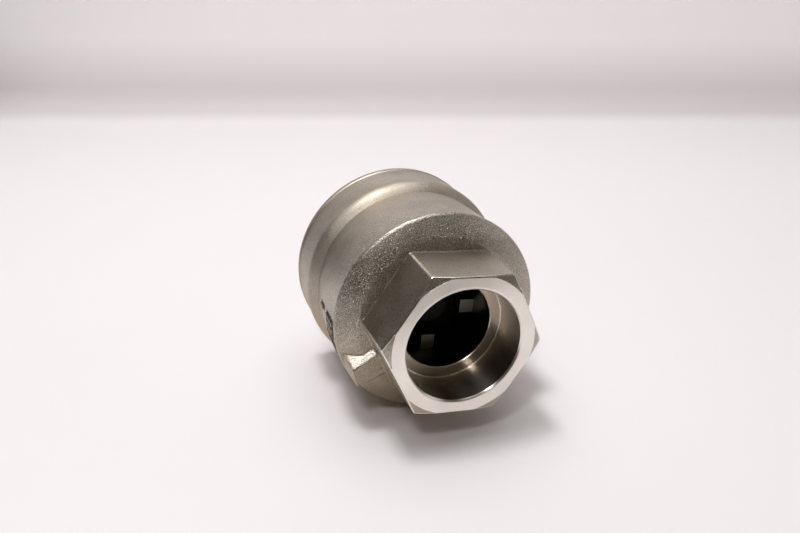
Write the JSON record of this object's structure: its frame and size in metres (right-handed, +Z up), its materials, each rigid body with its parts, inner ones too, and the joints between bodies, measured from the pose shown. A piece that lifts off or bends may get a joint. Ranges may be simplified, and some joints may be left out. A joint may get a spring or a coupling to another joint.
{
  "type": "spring check valve",
  "caption": "Stainless spring check valve with two hexagonal socket-weld ends, a round barrel with a thicker rear band, and a leg-guided poppet on a sprung stem.",
  "frame": {"origin": "centre of the inlet face, on the flow axis", "axes": "+Y along the flow, from the inlet to the outlet; +Z up as it lies on its side; the cast lug is below -X"},
  "size_m": [0.0638, 0.076, 0.0638],
  "materials": {
    "cast_stainless": "bead-blasted investment casting, warm grey",
    "turned_stainless": "turned, fine circular tool marks",
    "dark_stainless": "dull, dark",
    "spring_steel": "drawn wire and stamped strip, satin",
    "ptfe": "white, waxy",
    "fkm_rubber": "black, smooth"
  },
  "bodies": {
    "housing": {"inlet_body": "cast_stainless", "outlet_end": "cast_stainless", "body_gasket": "ptfe", "seat_ring": "turned_stainless", "seat_o_ring": "fkm_rubber", "seat_clip": "spring_steel", "guide_spider": "cast_stainless", "guide_bush": "ptfe", "spider_clip": "spring_steel", "spring_washer": "turned_stainless", "spring": "spring_steel"},
    "spring_seat": {"spring_cup": "turned_stainless"},
    "poppet": {"leg_guide": "turned_stainless", "disc_seal": "fkm_rubber", "poppet_disc": "dark_stainless", "stem": "turned_stainless", "nose_nut": "dark_stainless", "nose_washer": "dark_stainless", "lift_stop": "turned_stainless", "stem_clip": "spring_steel"}
  },
  "joints": [
    {"name": "poppet_lift", "type": "slide", "parent": "housing", "child": "spring_seat", "axis": [0, 1, 0], "range_m": [0, 0.0065], "stiffness_N_per_m": 600, "springref_m": -0.004, "deforming": ["spring"]},
    {"name": "poppet_spin", "type": "hinge", "parent": "spring_seat", "child": "poppet", "pos_m": [0, 0.045, 0], "axis": [0, 1, 0], "continuous": true}
  ]
}
